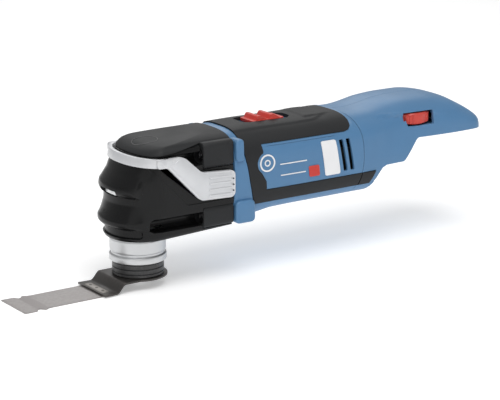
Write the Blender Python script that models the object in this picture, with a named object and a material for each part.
"""Cordless oscillating multi tool, without battery, with one plunge-cut blade fitted.

The model is drawn in millimetres from the tool datum: the spindle axis (X, Y) and the seat
where an accessory meets the tool holder (Z). +X runs back to the battery end and +Z is up.
An empty carries the datum, so that the frame's origin is the middle of the tool's footprint.
"""

import math

import bmesh
import bpy
from mathutils import Matrix, Vector

MM = 0.001
GAP = 0.3          # between pieces that touch
CUT = 1.0          # how far a cutter runs past the wall that it cuts
STEPS = 24         # points around a turned piece
RING = 20          # points around a body section
INNER_RING = 12    # points around the inside of the housing

# Overall sizes
BODY_REAR = 262.5        # rear end of the housing, from the spindle axis
BLADE_REACH = 90.6       # blade tip, from the spindle axis
BODY_WALL = 3.6
SHELL_WALL = 2.6
GRIP_PROUD = 0.4         # rubber stands proud of the hard shell
GRIP_SUNK = 1.6          # and lies in a pocket this deep
MOTOR_Z = 60.0           # height of the motor axis

# Body sections: station, half width, top, level of the widest point, bottom
FRONT_SECTIONS = (
    (56.1, 28.2, 88.0, 61.0, 27.5),
    (62.0, 28.5, 88.1, 61.0, 27.5),
    (70.0, 28.9, 88.2, 61.0, 27.8),
    (80.0, 29.4, 88.2, 61.5, 29.0),
    (92.0, 30.0, 88.0, 62.0, 30.6),
    (112.0, 30.4, 87.6, 62.5, 31.0),
    (135.0, 30.4, 88.0, 63.5, 31.0),
    (146.0, 30.4, 88.2, 64.0, 31.0),
    (150.0, 30.5, 88.0, 64.5, 31.0),
    (154.0, 30.5, 87.8, 65.0, 31.0),
    (158.0, 30.6, 87.7, 65.0, 31.0),
    (166.0, 30.7, 87.9, 65.5, 31.0),
)
REAR_SECTIONS = (
    (140.0, 30.4, 88.2, 64.0, 31.0),
    *FRONT_SECTIONS[7:11],
    (170.0, 30.8, 88.3, 66.0, 31.0),
    (178.0, 31.0, 89.6, 66.5, 31.0),
    (187.0, 31.3, 91.2, 67.0, 31.0),
    (203.0, 32.0, 92.2, 67.0, 31.0),
    (220.0, 32.8, 92.0, 67.0, 31.0),
    (236.0, 33.5, 89.4, 67.0, 31.0),
    (246.0, 33.2, 84.9, 67.0, 31.0),
    (254.0, 32.0, 80.4, 67.0, 31.0),
    (258.6, 30.0, 77.4, 67.0, 31.0),
    (BODY_REAR, 25.0, 74.6, 67.0, 31.0),
)
SQUARENESS = 3.1         # exponent of the superellipse sections
SEAM_TOP, SEAM_MID, SEAM_LOW = (150.0, 92.0), (158.0, 62.0), (153.0, 30.0)

# Head
HEAD_REAR = 55.5
HEAD_WIDTH = 27.6        # half width of the head cover
COVER_WALL = 2.4
COVER_TOP = 80.0
BAND_LOW = 74.0          # the lever's band fills the height from here to the cap
NECK_HOLE = 18.9
CAP_WALL = 1.7
RIM_RISE = 3.0           # the head's lower edge climbs this much from nose to rear
# Head cover outline at each height: height, nose, half width
COVER_PROFILE = (
    (25.5, -20.2, 25.4), (28.0, -21.2, 26.4), (33.0, -21.6, 27.0), (35.6, -23.4, 27.5),
    (38.4, -23.4, HEAD_WIDTH), (43.0, -21.0, HEAD_WIDTH), (48.6, -19.4, HEAD_WIDTH),
    (53.8, -19.4, HEAD_WIDTH), (57.0, -21.4, HEAD_WIDTH), (60.6, -21.4, HEAD_WIDTH),
    (64.6, -18.6, HEAD_WIDTH), (68.8, -16.0, HEAD_WIDTH), (BAND_LOW - 0.5, -13.2, HEAD_WIDTH),
    (BAND_LOW, -10.2, HEAD_WIDTH), (COVER_TOP, -8.6, 26.0),
)
CAP_PROFILE = (
    (80.3, -7.6, 26.2), (82.4, -5.2, 25.2), (84.4, -0.8, 23.2), (85.4, 2.8, 22.2),
    (86.2, 13.0, 20.4), (87.2, 26.0, 17.0), (88.0, 39.0, 12.0), (88.4, 47.0, 6.0),
)
NOSE_CENTRE = 5.0        # where the nose's curve meets the straight sides
NOSE_POWER = 2.1

# Spindle and accessory
HOLDER_R, HOLDER_H = 16.7, 9.0
NECK_PROFILE = ((14.3, 9.3), (18.3, 9.3), (18.3, 13.8), (17.3, 14.3), (17.3, 15.8),
                (17.9, 16.3), (17.9, 30.7), (8.6, 30.7), (8.6, 26.3), (14.3, 26.3))
SPINDLE_R, SPINDLE_TOP, SPINDLE_BORE = 7.5, 61.0, 3.6
ROD_R = SPINDLE_BORE - GAP
BLADE_HALF, BLADE_NECK_HALF, BLADE_THICK = 16.0, 14.0, 0.9
CARRIER_THICK = 1.2
CRANK_DROP, CRANK_START, CRANK_END, CARRIER_END = 5.4, 19.6, 25.0, 34.6
ECCENTRIC = 0.9          # throw of the drive pin; 36 mm out it swings the spindle by 1.4 degrees

# Lever
CAM_X, CAM_Z, CAM_SHAFT_R = 4.0, 77.0, 2.6
LEVER_INNER, LEVER_THICK = 28.3, 2.7
LEVER_TOP = 79.5
CAM_REST_R, CAM_RISE, LEVER_OPEN = 3.6, 2.5, 80.0
LEVER_OUTLINE = ((-2.0, BAND_LOW), (4.2, 73.7), (27.0, 50.6), (29.6, 49.2), (52.4, 48.2),
                 (54.6, 50.2), (54.6, 63.8), (52.6, 65.8), (31.0, 67.2), (28.4, 68.2),
                 (17.2, 78.4), (13.8, 79.5), (-2.0, LEVER_TOP))

# Screws that hold the gear head to the motor housing
SCREW_Y, SCREW_HIGH, SCREW_LOW = 21.6, 76.4, 36.2
SCREW_SEAT, SCREW_END = 38.0, 68.0
SCREW_R, SCREW_HEAD_R = 2.0, 3.6
BLOCK_FRONT = 32.6       # front of the boss blocks that the screws pass

# Screws that hold the rear shells together: station, height, reach of the boss to each side
SHELL_SCREWS = ((168.0, 56.6, 29.2), (166.0, 72.0, 29.0), (190.0, 59.6, 29.8),
                (240.0, 77.0, 28.6))

# Controls
SLOT_FRONT, SLOT_REAR, SLOT_HALF = 77.2, 115.6, 8.3
BUTTON_FRONT, BUTTON_LENGTH, BUTTON_HALF = 83.9, 25.0, 7.8
WHEEL_X, WHEEL_Y, WHEEL_Z, WHEEL_R, WHEEL_H = 205.5, -17.2, 79.4, 14.0, 7.6

# Battery bay
DECK_Z, CEILING_Z, LIP_Z = 66.6, 71.2, 68.4
BAY_FRONT, RAIL_IN, RAIL_OUT = 206.5, 26.5, 29.6
LEDGE_Z = 51.0
BELLY = ((166.5, 29.0), (173.2, 47.4), (177.4, LEDGE_Z), (192.4, LEDGE_Z), (203.5, DECK_Z))

CARRIER_BOTTOM = -CARRIER_THICK - CRANK_DROP
FLOOR = CARRIER_BOTTOM - BLADE_THICK
DATUM = Vector((-(BODY_REAR - BLADE_REACH) / 2, 0.0, -FLOOR))


# ---------------------------------------------------------------- scene and materials

def clear_scene():
    for obj in list(bpy.data.objects):
        bpy.data.objects.remove(obj, do_unlink=True)


def make_material(name, colour, roughness, metallic=0.0):
    made = bpy.data.materials.new(name)
    made.use_nodes = True
    shader = made.node_tree.nodes["Principled BSDF"]
    shader.inputs["Base Color"].default_value = (*colour, 1.0)
    shader.inputs["Roughness"].default_value = roughness
    shader.inputs["Metallic"].default_value = metallic
    return made


def make_materials():
    """One material for each finish on the tool."""
    return {
        "blue": make_material("blue_plastic", (0.10, 0.25, 0.45), 0.45),
        "black": make_material("black_plastic", (0.012, 0.012, 0.013), 0.38),
        "rubber": make_material("soft_grip", (0.045, 0.046, 0.048), 0.75),
        "red": make_material("red_plastic", (0.62, 0.04, 0.02), 0.4),
        "silver": make_material("silver_cast", (0.72, 0.73, 0.74), 0.35, 0.9),
        "steel": make_material("ground_steel", (0.55, 0.55, 0.56), 0.3, 1.0),
        "blade": make_material("blade_steel", (0.27, 0.25, 0.25), 0.4, 0.9),
        "burnished": make_material("burnished_steel", (0.06, 0.06, 0.06), 0.4, 0.7),
        "copper": make_material("copper_wire", (0.72, 0.33, 0.12), 0.35, 1.0),
        "board": make_material("circuit_board", (0.02, 0.16, 0.07), 0.5),
        "lens": make_material("clear_lens", (0.9, 0.92, 0.95), 0.1),
        "white": make_material("white_label", (0.85, 0.85, 0.86), 0.5),
    }


# ---------------------------------------------------------------- mesh helpers

def to_object(bm):
    """A mesh object from a bmesh drawn in millimetres from the datum."""
    bmesh.ops.recalc_face_normals(bm, faces=bm.faces)
    bmesh.ops.transform(bm, matrix=Matrix.Scale(MM, 4), verts=bm.verts)
    mesh = bpy.data.meshes.new("piece")
    bm.to_mesh(mesh)
    bm.free()
    obj = bpy.data.objects.new("piece", mesh)
    bpy.context.scene.collection.objects.link(obj)
    return obj


def loft(rings):
    """A closed solid through rings that each have the same number of points."""
    bm = bmesh.new()
    loops = [[bm.verts.new(p) for p in ring] for ring in rings]
    count = len(loops[0])
    for low, high in zip(loops, loops[1:]):
        for i in range(count):
            j = (i + 1) % count
            bm.faces.new((low[i], low[j], high[j], high[i]))
    bm.faces.new(loops[0])
    bm.faces.new(loops[-1])
    bmesh.ops.connect_verts_nonplanar(bm, angle_limit=math.radians(0.01), faces=bm.faces)
    return to_object(bm)


def prism(outline, axis, low, high):
    """A flat outline swept along one axis. The outline gives the other two, in XYZ order."""
    def place(pair, along):
        coords = list(pair)
        coords.insert("XYZ".index(axis), along)
        return coords
    return loft([[place(p, low) for p in outline], [place(p, high) for p in outline]])


def box(x, y, z):
    return prism(((x[0], y[0]), (x[1], y[0]), (x[1], y[1]), (x[0], y[1])), "Z", *z)


def turned(profile, axis="Z", centre=(0.0, 0.0, 0.0), steps=STEPS, phase=0.0):
    """A closed profile of (radius, height) points turned about an axis through the centre."""
    bm = bmesh.new()
    loops = []
    for step in range(steps):
        angle = 2 * math.pi * (step + phase) / steps
        cosine, sine = math.cos(angle), math.sin(angle)
        row = []
        for radius, height in profile:
            across = (radius * cosine, radius * sine)
            coords = {"X": (height, *across), "Y": (across[1], height, across[0]),
                      "Z": (*across, height)}[axis]
            row.append(bm.verts.new(Vector(coords) + Vector(centre)))
        loops.append(row)
    for i, row in enumerate(loops):
        after = loops[(i + 1) % steps]
        for j in range(len(profile)):
            k = (j + 1) % len(profile)
            if profile[j][0] > 0 or profile[k][0] > 0:
                bm.faces.new((row[j], row[k], after[k], after[j]))
    bmesh.ops.remove_doubles(bm, verts=bm.verts, dist=1e-5)
    return to_object(bm)


def rod(radius, low, high, axis="Z", centre=(0.0, 0.0, 0.0), steps=STEPS, phase=0.0):
    profile = ((0, low), (radius, low), (radius, high), (0, high))
    return turned(profile, axis, centre, steps, phase)


def bore(radius, low, high, axis="Z", centre=(0.0, 0.0, 0.0), steps=STEPS):
    """A cutter whose facets stay out of line with those of the piece that it cuts."""
    return rod(radius, low, high, axis, centre, steps, 0.4)


def tube(inner, outer, low, high, axis="Z", centre=(0.0, 0.0, 0.0), steps=STEPS):
    profile = ((inner, low), (outer, low), (outer, high), (inner, high))
    return turned(profile, axis, centre, steps)


def boolean(body, operation, *tools):
    """Applies one Boolean after another to the body, and removes the tools."""
    for tool in tools:
        modifier = body.modifiers.new(operation.lower(), "BOOLEAN")
        modifier.operation = operation
        modifier.solver = "EXACT"
        modifier.object = tool
    graph = bpy.context.evaluated_depsgraph_get()
    mesh = bpy.data.meshes.new_from_object(body.evaluated_get(graph))
    body.modifiers.clear()
    body.data = mesh
    for tool in tools:
        bpy.data.objects.remove(tool, do_unlink=True)
    return body


def cut(body, *tools):
    return boolean(body, "DIFFERENCE", *tools)


def join(body, *tools):
    return boolean(body, "UNION", *tools)


def common(body, *tools):
    return boolean(body, "INTERSECT", *tools)


class Tool:
    """Names, dresses and places the finished pieces on the datum."""

    def __init__(self):
        self.materials = make_materials()
        self.datum = bpy.data.objects.new("tool_datum", None)
        bpy.context.scene.collection.objects.link(self.datum)
        self.datum.location = DATUM * MM

    def add(self, name, obj, finish):
        obj.name = name
        obj.data.name = name
        obj.data.materials.clear()
        obj.data.materials.append(self.materials[finish])
        obj.data.shade_smooth()
        obj.data.set_sharp_from_angle(angle=math.radians(32))
        obj.parent = self.datum

    def add_copy(self, name, pattern, place, finish):
        """A further copy of a repeated piece, set at its own place."""
        obj = bpy.data.objects.new(name, pattern.data.copy())
        bpy.context.scene.collection.objects.link(obj)
        obj.location = Vector(place) * MM
        self.add(name, obj, finish)


# ---------------------------------------------------------------- body sections

def body_ring(station, grow=0.0, count=RING):
    """A rounded-square section, grown outwards by an offset."""
    x, half, top, mid, bottom = station
    points = []
    for i in range(count):
        angle = 2 * math.pi * i / count
        c, s = math.cos(angle), math.sin(angle)
        reach = (top - mid if s > 0 else mid - bottom) + grow
        y = (half + grow) * math.copysign(abs(c) ** (2 / SQUARENESS), c)
        z = mid + reach * math.copysign(abs(s) ** (2 / SQUARENESS), s)
        points.append((x, y, z))
    return points


def body_loft(sections, grow=0.0, start=None, end=None, count=RING):
    """The body's skin between two stations, as a solid, grown by an offset."""
    chosen = [s for s in sections
              if (start is None or s[0] >= start) and (end is None or s[0] <= end)]
    return loft([body_ring(s, grow, count) for s in chosen])


def seam_outline(offset, side):
    """The curved parting line between motor housing and rear shells, closed around one side."""
    (x0, z0), (x1, z1), (x2, z2) = SEAM_TOP, SEAM_MID, SEAM_LOW
    line = []
    for step in range(9):
        t = step / 8
        weights = ((1 - t) * (1 - 2 * t), 4 * t * (1 - t), t * (2 * t - 1))
        line.append((weights[0] * x0 + weights[1] * x1 + weights[2] * x2 + offset,
                     weights[0] * z0 + weights[1] * z1 + weights[2] * z2))
    line = [(line[0][0], line[0][1] + 30)] + line + [(line[-1][0], line[-1][1] - 30)]
    return line + [(side, line[-1][1]), (side, line[0][1])]


def flange_outline(grow=0.0):
    return [p[1:] for p in body_ring((0.0, 28.2, 88.0, 61.0, 27.5), grow)]


def rounded_block(x, y, z, radius=3.0):
    """A block along X whose long edges are rounded, given by its ranges."""
    outline = []
    corners = ((y[1], z[1], 0), (y[0], z[1], 90), (y[0], z[0], 180), (y[1], z[0], 270))
    for cy, cz, start in corners:
        in_y = cy - math.copysign(radius, cy - sum(y) / 2)
        in_z = cz - math.copysign(radius, cz - sum(z) / 2)
        for step in range(4):
            angle = math.radians(start + 30 * step)
            outline.append((in_y + radius * math.cos(angle), in_z + radius * math.sin(angle)))
    return prism(outline, "X", *x)


def sides(y):
    """Both ranges of a piece that stands on either side of the centre plane."""
    return ((-y[1], -y[0]), y)


# ---------------------------------------------------------------- head

def plan_ring(height, nose, half, rear=HEAD_REAR, rise=0.0, points=13):
    """A level D-shaped outline: a blunt curved nose and straight sides."""
    ring = []
    centre = max(NOSE_CENTRE, nose + half * 0.3)
    for i in range(points):
        angle = math.pi * (i / (points - 1) - 0.5)
        y = half * math.copysign(abs(math.sin(angle)) ** (2 / NOSE_POWER), angle)
        x = centre - (centre - nose) * abs(math.cos(angle)) ** (2 / NOSE_POWER)
        ring.append((x, y))
    middle = (centre + rear) / 2
    ring += [(middle, half), (rear, half), (rear, 0.0), (rear, -half), (middle, -half)]
    span = rear - nose
    return [(x, y, height + rise * (x - nose) / span) for x, y in ring]


def head_loft(profile, grow=0.0, rear=HEAD_REAR, lift=0.0):
    """The head's skin through its profile, grown by an offset and raised at the ends."""
    rings = []
    last = len(profile) - 1
    for i, (height, nose, half) in enumerate(profile):
        rise = RIM_RISE * max(0.0, 1 - (height - profile[0][0]) / 12) if lift else 0.0
        up = -lift if i == 0 else lift if i == last else 0.0
        rings.append(plan_ring(height + up, nose - grow, half + grow, rear, rise))
    return loft(rings)


def channel(side, height, front, rear, radius, slant=0.0):
    """A screw channel along X that opens to the side of the head."""
    y = side * SCREW_Y
    bore = rod(radius, front, rear, "X", (0.0, y, height), steps=16)
    outer = side * (LEVER_INNER + 6)
    across = (min(y, outer), max(y, outer))
    return join(bore, box((front, rear), across, (height - radius, height + radius)))


def high_channels(grow=0.0):
    return [channel(side, SCREW_HIGH, 8.0 - grow, BLOCK_FRONT + 10 + grow, 5.2 + grow)
            for side in (-1, 1)]


def low_channels(grow=0.0):
    return [channel(side, SCREW_LOW, -6.0 - grow, BLOCK_FRONT + 10 + grow, 4.6 + grow)
            for side in (-1, 1)]


BLOCK_Y = (13.6, 27.9)
HIGH_BLOCK_Z, LOW_BLOCK_Z = (67.8, 85.0), (29.4, 43.6)


def boss_blocks(z, grow=0.0):
    low, high = BLOCK_Y
    return [rounded_block((BLOCK_FRONT - grow, HEAD_REAR + grow), y, (z[0] - grow, z[1] + grow))
            for y in sides((low - grow, high + grow))]


def screw_bosses(radius, start, end):
    return [rod(radius, start, end, "X", (0.0, side * SCREW_Y, z), steps=16)
            for z in (SCREW_HIGH, SCREW_LOW) for side in (-1, 1)]


def screw_bores(radius, start, end, heights=(SCREW_HIGH, SCREW_LOW)):
    return [bore(radius, start, end, "X", (0.0, side * SCREW_Y, z), steps=16)
            for z in heights for side in (-1, 1)]


def build_head_cover(tool):
    body = head_loft(COVER_PROFILE, lift=0.01)
    hollow = head_loft(COVER_PROFILE, -COVER_WALL, HEAD_REAR + CUT)
    hollow_top = head_loft(((BAND_LOW - 1, -7.9, 25.2), (COVER_TOP + CUT, -6.9, 23.6)),
                           0.0, HEAD_REAR + CUT)
    hollow = join(hollow, hollow_top)
    hollow = cut(hollow, box((-40, 70), (-40, 40), (0, 30.4)),
                 *high_channels(COVER_WALL), *low_channels(COVER_WALL))
    body = cut(body, hollow, *high_channels(), *low_channels())
    body = cut(body, *boss_blocks(HIGH_BLOCK_Z, GAP), *boss_blocks(LOW_BLOCK_Z, GAP))
    body = cut(body, bore(NECK_HOLE, 20.0, 34.0),
               bore(CAM_SHAFT_R + GAP, -40, 40, "Y", (CAM_X, 0.0, CAM_Z), steps=16),
               box((-30, -13), (-9.0, 9.0), (53.6, 58.4)))
    tool.add("head_cover", body, "black")


def build_cap(tool):
    body = head_loft(CAP_PROFILE)
    inner = [(h - CAP_WALL if i else h - CUT, n + CAP_WALL, w - CAP_WALL)
             for i, (h, n, w) in enumerate(CAP_PROFILE)]
    body = cut(body, head_loft(inner, 0.0, HEAD_REAR + CUT))
    body = join(body, *boss_blocks(HIGH_BLOCK_Z))
    body = cut(body, *screw_bores(5.0 + GAP, BLOCK_FRONT - CUT, HEAD_REAR + CUT, (SCREW_HIGH,)),
               mounting_plate(GAP))
    tool.add("grip_cap", body, "rubber")
    for side, block in zip(("left", "right"), boss_blocks(LOW_BLOCK_Z)):
        block = cut(block, mounting_plate(GAP),
                    *screw_bores(5.0 + GAP, BLOCK_FRONT - CUT, HEAD_REAR + CUT, (SCREW_LOW,)))
        tool.add(f"boss_sleeve_{side}", block, "rubber")


def mounting_plate(grow=0.0):
    """The gear housing's end plate, which the motor housing's flange meets."""
    plate = prism(flange_outline(grow - 4.0), "X", 50.0 - grow, 55.8 + grow)
    return common(plate, box((40, 60), (-30, 30), (32.0 - grow, 79.0 + grow)))


def build_gear_housing(tool):
    """The cast gear housing: a tower round the spindle, a bridge to the motor and a flange."""
    body = turned(((0, 31.0), (14.2, 31.0), (14.2, 61.4), (11.2, 66.0), (11.2, 80.4), (0, 80.4)))
    body = join(body, box((4.0, 52.0), (-13.0, 13.0), (41.0, 74.0)), mounting_plate())
    body = join(body, *screw_bosses(5.0, SCREW_SEAT, 53.0))
    well = turned(((0, 20.0), (11.6, 20.0), (11.6, 61.0), (8.4, 64.6), (8.4, 85.0), (0, 85.0)))
    body = cut(body, well, box((3.0, 50.4), (-10.7, 10.7), (43.0, 71.4)),
               bore(13.3, 49.0, 60.0, "X", (0.0, 0.0, MOTOR_Z)))
    body = cut(body, box((CAM_X - 7.0, CAM_X + 7.4), (-5.2, 5.2), (69.5, 90.0)),
               box((-20.0, -6.0), (-20.0, 20.0), (71.6, 90.0)),
               box((-20.0, -2.6), (-20.0, 20.0), (78.2, 90.0)),
               bore(CAM_SHAFT_R + GAP, -40, 40, "Y", (CAM_X, 0.0, CAM_Z), steps=16),
               *screw_bores(SCREW_R + GAP, SCREW_SEAT - CUT, 60.0))
    tool.add("gear_housing", body, "silver")
    tool.add("spindle_neck", turned(NECK_PROFILE), "silver")


def build_work_light(tool):
    tool.add("light_lens", box((-19.4, -16.4), (-8.6, 8.6), (54.0, 58.0)), "lens")
    tool.add("light_board", box((-16.0, -14.8), (-6.0, 6.0), (52.0, 60.0)), "board")


# ---------------------------------------------------------------- spindle group

def build_spindle(tool):
    holder = turned(((SPINDLE_R + GAP, 0.0), (HOLDER_R, 0.0), (HOLDER_R, HOLDER_H - 1.0),
                     (HOLDER_R - 1.0, HOLDER_H), (SPINDLE_R + GAP, HOLDER_H)))
    tool.add("tool_holder", holder, "burnished")
    tool.add("output_spindle", tube(SPINDLE_BORE, SPINDLE_R, 0.0, SPINDLE_TOP), "steel")
    tool.add("lower_bearing", tube(SPINDLE_R + GAP, 14.0, 17.0, 26.0), "steel")
    tool.add("upper_bearing", tube(SPINDLE_R + GAP, 11.3, 55.0, 60.0), "steel")
    hub = tube(SPINDLE_R + GAP, 11.0, 40.0, 54.0)
    arms = [box((8.0, 39.3), y, (MOTOR_Z - 16.0, MOTOR_Z - 8.0)) for y in sides((3.4, 9.6))]
    fork = join(hub, box((9.0, 22.0), (-9.6, 9.6), (44.2, 51.8)))
    for arm in arms:
        fork = join(fork, arm)
    prongs = [box((30.0, 39.3), y, (51.0, MOTOR_Z + 6.0)) for y in sides((7.9, 9.6))]
    fork = join(fork, *prongs)
    tool.add("rocker_fork", fork, "steel")


def build_clamp(tool):
    """The clamp rod, with the hook head that holds the accessory up against its seat."""
    top = CAM_Z - CAM_REST_R - 0.8
    collar = top - 2.0
    body = turned(((0, CARRIER_BOTTOM + 1.6), (6.0, CARRIER_BOTTOM + 1.6), (6.6, -3.4),
                   (6.6, -CARRIER_THICK - GAP), (ROD_R, -CARRIER_THICK - GAP),
                   (ROD_R, collar), (6.0, collar), (6.0, top), (0, top)))
    tool.add("clamp_rod", body, "steel")
    build_spring(tool, SPINDLE_TOP + GAP, collar - GAP)


def build_spring(tool, low, high, coil_r=5.2, wire_r=0.55, turns=4, per_turn=10, corners=6):
    """A round-wire compression spring between the spindle's end and the rod's collar."""
    count = turns * per_turn
    rings = []
    for i in range(count + 1):
        angle = 2 * math.pi * i / per_turn
        height = low + wire_r + (high - low - 2 * wire_r) * i / count
        outward = Vector((math.cos(angle), math.sin(angle), 0.0))
        centre = outward * coil_r + Vector((0.0, 0.0, height))
        ring = []
        for k in range(corners):
            turn = 2 * math.pi * k / corners
            ring.append(centre + outward * (wire_r * math.cos(turn))
                        + Vector((0.0, 0.0, wire_r * math.sin(turn))))
        rings.append(ring)
    tool.add("clamp_spring", loft(rings), "steel")


def carrier_side(x):
    """Height of the cranked carrier's upper face at a distance in front of the spindle."""
    if x <= CRANK_START:
        return 0.0
    if x >= CRANK_END:
        return -CRANK_DROP
    return -CRANK_DROP * (x - CRANK_START) / (CRANK_END - CRANK_START)


def build_accessory(tool):
    """The cranked carrier with its round hub, and the saw blade welded under its end."""
    stations = (-4.0, CRANK_START, CRANK_END, CARRIER_END)
    rings = []
    for x in stations:
        z = carrier_side(x)
        half = 16.8 if x < CARRIER_END else 17.2
        rings.append([(-x, -half, z - CARRIER_THICK), (-x, half, z - CARRIER_THICK),
                      (-x, half, z), (-x, -half, z)])
    carrier = loft(rings)
    hub = rod(18.8, -CARRIER_THICK, 0.0)
    carrier = join(carrier, hub)
    carrier = cut(carrier, bore(5.2, -CARRIER_THICK - CUT, CUT))
    carrier.data.transform(Matrix.Translation((0.0, 0.0, -GAP / 2 * MM)))
    tool.add("blade_carrier", carrier, "burnished")

    top = CARRIER_BOTTOM - GAP * 0.5
    tip, notch_in, notch_out = BLADE_REACH, 78.6, 74.6
    half, neck = BLADE_HALF, BLADE_NECK_HALF
    side = ((CRANK_END + 1.0, neck), (notch_out - 4.0, neck), (notch_out, neck + 1.6),
            (notch_in, neck - 1.2), (notch_in + 2.6, half - 0.4), (tip, half))
    outline = [(-x, y) for x, y in side] + [(-x, -y) for x, y in reversed(side)]
    tool.add("saw_blade", prism(outline, "Z", FLOOR, top - GAP * 0.5), "blade")


# ---------------------------------------------------------------- lever

def build_lever(tool):
    """A bail lever: a band round the nose, and a wing on each side."""
    outer, inner = LEVER_INNER + LEVER_THICK, LEVER_INNER
    bands = []
    for grow, rear, extra in ((LEVER_THICK, 2.0, 0.0), (0.0, 2.0 + CUT, CUT)):
        low = plan_ring(BAND_LOW - extra, -10.8 - grow, inner + grow, NOSE_CENTRE + rear)
        high = plan_ring(LEVER_TOP + extra, -9.6 - grow * 0.8, inner + grow,
                         NOSE_CENTRE + rear)
        bands.append(loft([low, high]))
    body = cut(*bands)
    for y in sides((inner + 0.1, outer + 0.2)):
        body = join(body, prism(LEVER_OUTLINE, "Y", *y))
    body = cut(body, bore(CAM_SHAFT_R + GAP, -inner - 1.4, inner + 1.4, "Y",
                         (CAM_X, 0.0, CAM_Z), steps=16))
    tool.add("release_lever", body, "silver")


def build_camshaft(tool):
    """The cam's radius grows in step with the lever's angle, so the rod follows it evenly."""
    lobe = []
    for step in range(24):
        angle = 2 * math.pi * step / 24
        share = max(0.0, min(1.0, math.degrees(angle) / LEVER_OPEN))
        reach = CAM_REST_R + CAM_RISE * share
        if math.degrees(angle) > LEVER_OPEN + 60:
            fall = (math.degrees(angle) - LEVER_OPEN - 60) / (300 - LEVER_OPEN)
            reach = CAM_REST_R + CAM_RISE * max(0.0, 1 - fall)
        lobe.append((CAM_X + reach * math.sin(angle), CAM_Z - reach * math.cos(angle)))
    shaft = rod(CAM_SHAFT_R, -LEVER_INNER - 1.1, LEVER_INNER + 1.1, "Y",
                (CAM_X, 0.0, CAM_Z), steps=16)
    tool.add("camshaft", join(shaft, prism(lobe, "Y", -4.5, 4.5)), "steel")


def build_head_screws(tool):
    profile = ((0, -3.6), (SCREW_HEAD_R, -3.6), (SCREW_HEAD_R, -GAP), (SCREW_R, -GAP),
               (SCREW_R, SCREW_END - SCREW_SEAT), (0, SCREW_END - SCREW_SEAT))
    screw = cut(turned(profile, "X", steps=12), rod(1.8, -4.6, -1.8, "X", steps=6))
    spots = {"upper_left": (-SCREW_Y, SCREW_HIGH), "upper_right": (SCREW_Y, SCREW_HIGH),
             "lower_left": (-SCREW_Y, SCREW_LOW), "lower_right": (SCREW_Y, SCREW_LOW)}
    for place, (y, z) in spots.items():
        tool.add_copy(f"head_screw_{place}", screw, (SCREW_SEAT, y, z), "steel")
    bpy.data.objects.remove(screw, do_unlink=True)


# ---------------------------------------------------------------- motor

def build_motor(tool):
    at = (0.0, 0.0, MOTOR_Z)
    offset = (0.0, 0.0, MOTOR_Z + ECCENTRIC)
    shaft = join(rod(3.0, 39.6, 128.0, "X", at, steps=16),
                 rod(2.0, 32.0, 41.0, "X", offset, steps=14, phase=0.4))
    tool.add("motor_shaft", shaft, "steel")
    tool.add("eccentric_bearing", tube(2.3, 5.6, 33.0, 39.0, "X", offset, steps=16), "steel")
    weight = common(tube(3.3, 9.4, 40.2, 44.4, "X", at, steps=16),
                    box((40, 45), (-12, 12), (MOTOR_Z - 12, MOTOR_Z + 1)))
    tool.add("balance_weight", weight, "steel")
    tool.add("front_motor_bearing", tube(3.3, 13.0, 50.6, 57.6, "X", at), "steel")
    tool.add("rear_motor_bearing", tube(3.3, 8.0, 121.0, 126.0, "X", at, steps=24), "steel")
    tool.add("rotor", tube(3.3, 10.8, 84.0, 116.0, "X", at, steps=24), "steel")
    stator = tube(11.6, 20.4, 84.0, 116.0, "X", at)
    slots = around(6, 30.0, (83.0, 117.0), (-2.0, 2.0), (9.0, 17.6))
    tool.add("stator_core", cut(stator, *slots), "steel")
    winding = join(tube(13.4, 18.8, 79.6, 83.7, "X", at, steps=24),
                   tube(13.4, 18.8, 116.3, 120.4, "X", at, steps=24))
    winding = join(winding, *around(6, 30.0, (80.0, 120.0), (-1.7, 1.7), (14.0, 17.3)))
    tool.add("stator_windings", winding, "copper")
    build_fan(tool)
    tool.add("motor_end_plate", cut(rod(20.4, 121.0, 127.0, "X", at),
                                    bore(8.3, 120.0, 130.0, "X", at)), "black")
    tool.add("sensor_board", tube(6.0, 19.0, 128.4, 130.0, "X", at), "board")


def around(count, start, x, y, z):
    """Boxes spaced evenly about the motor axis; z is measured out from that axis."""
    made = []
    for i in range(count):
        piece = box(x, y, z)
        turn = Matrix.Rotation(math.radians(start + 360 * i / count), 4, "X")
        piece.data.transform(Matrix.Translation((0.0, 0.0, MOTOR_Z * MM)) @ turn)
        made.append(piece)
    return made


def build_fan(tool, blades=9):
    at = (0.0, 0.0, MOTOR_Z)
    fan = turned(((3.3, 61.0), (8.0, 61.0), (8.0, 74.2), (20.0, 74.2), (20.0, 76.0),
                  (3.3, 76.0)), "X", at)
    vanes = around(blades, 4.0, (62.0, 75.0), (-0.7, 0.7), (7.2, 19.4))
    tool.add("cooling_fan", join(fan, *vanes), "black")


# ---------------------------------------------------------------- motor housing and grips

PANEL_TOP, PANEL_LOW, STRIP_LOW = 78.6, 47.8, 38.0
GRIP_FRONT, GRIP_REAR, PANEL_FRONT = 65.4, 149.6, 79.4


def grip_outline(shrink):
    """Side view of the rubber: the top, the front of the flanks and the low strip."""
    s = shrink
    return ((GRIP_FRONT + s, 100.0), (GRIP_REAR - s, 100.0), (GRIP_REAR - s, 82.4),
            (GRIP_REAR - 2.0 - s, 79.6 + s), (GRIP_REAR - 5.0, PANEL_TOP + s),
            (PANEL_FRONT - s, PANEL_TOP + s), (PANEL_FRONT - s, PANEL_LOW - s),
            (SEAM_MID[0] - 4.0, PANEL_LOW - s), (SEAM_MID[0] - 4.0, STRIP_LOW + s),
            (GRIP_FRONT + 6.4 + s, STRIP_LOW + s), (GRIP_FRONT + 6.4 + s, STRIP_LOW + 5.0),
            (GRIP_FRONT + 3.4 + s, STRIP_LOW + 12.0), (GRIP_FRONT + s, STRIP_LOW + 30.0))


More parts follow.
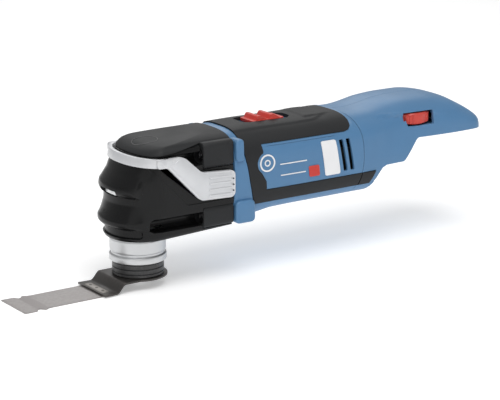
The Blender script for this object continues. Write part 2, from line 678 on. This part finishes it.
def grip_band(sections, outline, grow_in, grow_out, start=None, end=None):
    """The layer between two offsets of the skin, inside a side outline."""
    layer = cut(body_loft(sections, grow_out, start, end),
                stretched(body_loft(sections, -grow_in, start, end)))
    return common(layer, prism(outline, "Y", -50, 50))


def stretched(obj, share=1.02):
    """A cutter made a little longer, so that it runs out of both ends."""
    middle = sum(v.co.x for v in obj.data.vertices) / len(obj.data.vertices)
    for vertex in obj.data.vertices:
        vertex.co.x = middle + (vertex.co.x - middle) * share
    return obj


def switch_slot(grow=0.0, floor=60.0):
    return box((SLOT_FRONT - grow, SLOT_REAR + grow), (-SLOT_HALF - grow, SLOT_HALF + grow),
               (floor, 100.0))


def build_motor_housing(tool):
    body = body_loft(FRONT_SECTIONS)
    bosses = [rounded_block((56.4, 64.0), y, (69.8, 84.6)) for y in sides((14.0, 29.6))]
    bosses += [rounded_block((56.4, 71.0), y, (28.6, 41.6)) for y in sides((12.0, 29.4))]
    body = join(body, *bosses)
    body = cut(body, grip_band(FRONT_SECTIONS, grip_outline(0.0), GRIP_SUNK, 3.0))
    hollow = stretched(body_loft(FRONT_SECTIONS, -BODY_WALL, 70.0, None, INNER_RING), 1.04)
    body = cut(body, hollow, bore(23.0, 50.0, 76.0, "X", (0.0, 0.0, MOTOR_Z)),
               prism(seam_outline(0.0, 190.0), "Y", -50, 50))
    body = cut(body, *screw_bores(SCREW_R + GAP, 50.0, SCREW_END + GAP))
    body = cut(body, box((SLOT_FRONT + 3, SLOT_REAR - 3), (-3.6, 3.6), (70.0, 95.0)))
    for x in (137.2, 142.8):
        for y in sides((22.0, 40.0)):
            body = cut(body, slanted_slot(x, y))
    tool.add("motor_housing", body, "blue")

    grip = grip_band(FRONT_SECTIONS, grip_outline(GAP), GRIP_SUNK - GAP, GRIP_PROUD)
    grip = cut(grip, switch_slot())
    tool.add("soft_grip", grip, "rubber")


def slanted_slot(x, y, low=52.0, high=73.8, width=3.3, slant=4.4):
    """One cooling slot in the flank, leaning back towards its foot."""
    outline = ((x, high), (x + width, high), (x + width + slant, low), (x + slant, low))
    return prism(outline, "Y", *y)


# ---------------------------------------------------------------- rear shells

def belly_outline(points, rear=300.0, low=10.0):
    """Everything under the tool's stepped belly line."""
    return (*points, (rear, points[-1][1]), (rear, low), (points[0][0], low))


def inner_belly():
    w = SHELL_WALL
    (x0, z0), (x1, z1), (x2, z2), (x3, z3), (x4, _) = BELLY
    roof = CEILING_Z + SHELL_WALL
    return ((120.0, 31.0 + w), (x0 - w, 31.0 + w), (x1 - w, z1 + 1.0), (x2 - w * 0.4, z2 + w),
            (x3 - w * 0.6, z3 + w), (x4 - w, DECK_Z + 1.0), (x4 - w, roof))


def build_rear_shells(tool):
    body = body_loft(REAR_SECTIONS)
    hollow = cut(body_loft(REAR_SECTIONS, -SHELL_WALL, None, 256.0, INNER_RING),
                 prism(belly_outline(inner_belly()), "Y", -50, 50))
    body = cut(body, hollow)
    body = cut(body, prism(belly_outline(BELLY), "Y", -50, 50),
               prism(seam_outline(GAP, 120.0), "Y", -50, 50))
    body = cut(body, box((BAY_FRONT, 290), (-RAIL_IN, RAIL_IN), (60.0, CEILING_Z)),
               box((BAY_FRONT, 290), (-RAIL_OUT, RAIL_OUT), (LIP_Z, CEILING_Z)))
    body = cut(body, box((BAY_FRONT + 8, BAY_FRONT + 30), (-14.0, 14.0), (70.0, 76.0)))
    body = cut(body, grip_band(REAR_SECTIONS, rear_strip_outline(0.0), GRIP_SUNK, 3.0, None, 201.0))
    body = cut(body, box((WHEEL_X - 12.2, WHEEL_X + 12.2), (-40.0, -22.0),
                         (WHEEL_Z - WHEEL_H / 2 - 1, WHEEL_Z + WHEEL_H / 2 + 1)))
    for x, z, reach in SHELL_SCREWS:
        place = (x, 0.0, z)
        body = join(body, rod(4.6, -reach, reach, "Y", place, steps=12))
        hole = ((0, -16.0), (SCREW_R - 0.2, -16.0), (SCREW_R - 0.2, reach - 5.0),
                (SCREW_HEAD_R + GAP, reach - 5.0), (SCREW_HEAD_R + GAP, 45.0), (0, 45.0))
        body = cut(body, turned(hole, "Y", place, steps=12, phase=0.4))
    for side, y, flank in (("left", (-60.0, -GAP / 2), (-60.0, -20.0)),
                           ("right", (GAP / 2, 60.0), (20.0, 60.0))):
        half = body.copy()
        half.data = body.data.copy()
        bpy.context.scene.collection.objects.link(half)
        tool.add(f"rear_shell_{side}", common(half, box((100, 300), y, (0, 120))), "blue")
        strip = grip_band(REAR_SECTIONS, rear_strip_outline(GAP), GRIP_SUNK - GAP, GRIP_PROUD,
                          None, 201.0)
        tool.add(f"rear_strip_{side}", common(strip, box((100, 300), flank, (0, 120))), "rubber")
    bpy.data.objects.remove(body, do_unlink=True)
    build_shell_screws(tool)


def rear_strip_outline(shrink):
    s = shrink
    return ((SEAM_MID[0] + 1.4 + s, PANEL_LOW - s), (170.4 - s, PANEL_LOW - s),
            (166.8 - s, STRIP_LOW + s + 1.0), (SEAM_MID[0] + 0.6 + s, STRIP_LOW + s + 1.0))


def build_shell_screws(tool):
    shank = SCREW_R - 0.5
    for number, (x, z, reach) in enumerate(SHELL_SCREWS, 1):
        seat = reach - 5.0 + GAP
        profile = ((0, -14.0), (shank, -14.0), (shank, seat), (SCREW_HEAD_R, seat),
                   (SCREW_HEAD_R, seat + 2.5), (0, seat + 2.5))
        tool.add(f"shell_screw_{number}", turned(profile, "Y", (x, 0.0, z), steps=12), "steel")


# ---------------------------------------------------------------- controls and electrics

def build_switch(tool):
    floor = 88.0 - GRIP_SUNK + GAP
    end = BUTTON_FRONT + BUTTON_LENGTH
    cap = box((BUTTON_FRONT, end), (-BUTTON_HALF, BUTTON_HALF), (floor, floor + 2.4))
    for x in (BUTTON_FRONT + 4.6, BUTTON_FRONT + 13.4):
        ridge = ((x, floor + 1.4), (x + 8.4, floor + 1.4), (x + 3.2, floor + 4.6),
                 (x + 1.6, floor + 4.6))
        cap = join(cap, prism(ridge, "Y", -BUTTON_HALF + 0.4, BUTTON_HALF - 0.4))
    tool.add("slide_button", cap, "red")
    middle = BUTTON_FRONT + BUTTON_LENGTH / 2
    stem = box((middle - 6, middle + 6), (-3.2, 3.2), (81.6, floor - GAP))
    stem = join(stem, box((middle - 12, middle + 44), (-5.0, 5.0), (80.9, 82.7)))
    tool.add("switch_link", stem, "black")
    module = join(box((134.0, 150.0), (-7.0, 7.0), (66.0, 78.6)),
                  box((136.0, 140.0), (-2.0, 2.0), (78.0, 80.6)))
    tool.add("switch_module", module, "black")


def build_speed_wheel(tool, ribs=36):
    outline = []
    for i in range(ribs * 2):
        angle = math.pi * i / ribs
        radius = WHEEL_R - (0.7 if i % 2 else 0.0)
        outline.append((WHEEL_X + radius * math.cos(angle), WHEEL_Y + radius * math.sin(angle)))
    low, high = WHEEL_Z - WHEEL_H / 2, WHEEL_Z + WHEEL_H / 2
    wheel = cut(prism(outline, "Z", low, high),
                bore(2.4 + GAP, low - CUT, high + CUT, centre=(WHEEL_X, WHEEL_Y, 0.0), steps=16))
    tool.add("speed_wheel", wheel, "red")
    axle = join(rod(2.4, low, high + 1.5, centre=(WHEEL_X, WHEEL_Y, 0.0), steps=16),
                box((WHEEL_X - 6, WHEEL_X + 6), (WHEEL_Y - 3.5, WHEEL_Y + 7), (high + 0.6, 85.4)))
    tool.add("speed_control_axle", axle, "black")


def build_electrics(tool):
    tool.add("electronics_module", box((134.0, 160.0), (-16.0, 16.0), (40.0, 64.5)), "black")
    tool.add("control_board", box((172.0, 198.0), (-22.0, 22.0), (73.6, 75.2)), "board")
    block = box((BAY_FRONT + 1.5, BAY_FRONT + 36), (-7.0, 7.0), (64.0, CEILING_Z - GAP))
    block = join(block, box((BAY_FRONT + 9, BAY_FRONT + 29), (-13.0, 13.0), (70.6, 75.4)))
    slots = [box((BAY_FRONT + 8, BAY_FRONT + 40), (y - 1.2, y + 1.2), (63.0, 69.0))
             for y in (-4.0, 4.0)]
    tool.add("terminal_block", cut(block, *slots), "black")
    for side, y in (("left", -4.0), ("right", 4.0)):
        blade = box((BAY_FRONT + 9, BAY_FRONT + 33), (y - 0.4, y + 0.4), (64.6, 68.6))
        tool.add(f"contact_blade_{side}", blade, "copper")


def build_labels(tool):
    outline = ((122.4, 74.4), (134.2, 74.4), (138.8, 51.2), (126.6, 51.2))
    layer = cut(body_loft(FRONT_SECTIONS, 0.75), stretched(body_loft(FRONT_SECTIONS, GAP)))
    label = common(layer, prism(outline, "Y", -50, -20))
    tool.add("motor_label", label, "white")


def main():
    clear_scene()
    tool = Tool()
    build_head_cover(tool)
    build_cap(tool)
    build_gear_housing(tool)
    build_work_light(tool)
    build_spindle(tool)
    build_clamp(tool)
    build_accessory(tool)
    build_lever(tool)
    build_camshaft(tool)
    build_head_screws(tool)
    build_motor(tool)
    build_motor_housing(tool)
    build_rear_shells(tool)
    build_switch(tool)
    build_speed_wheel(tool)
    build_electrics(tool)
    build_labels(tool)


main()
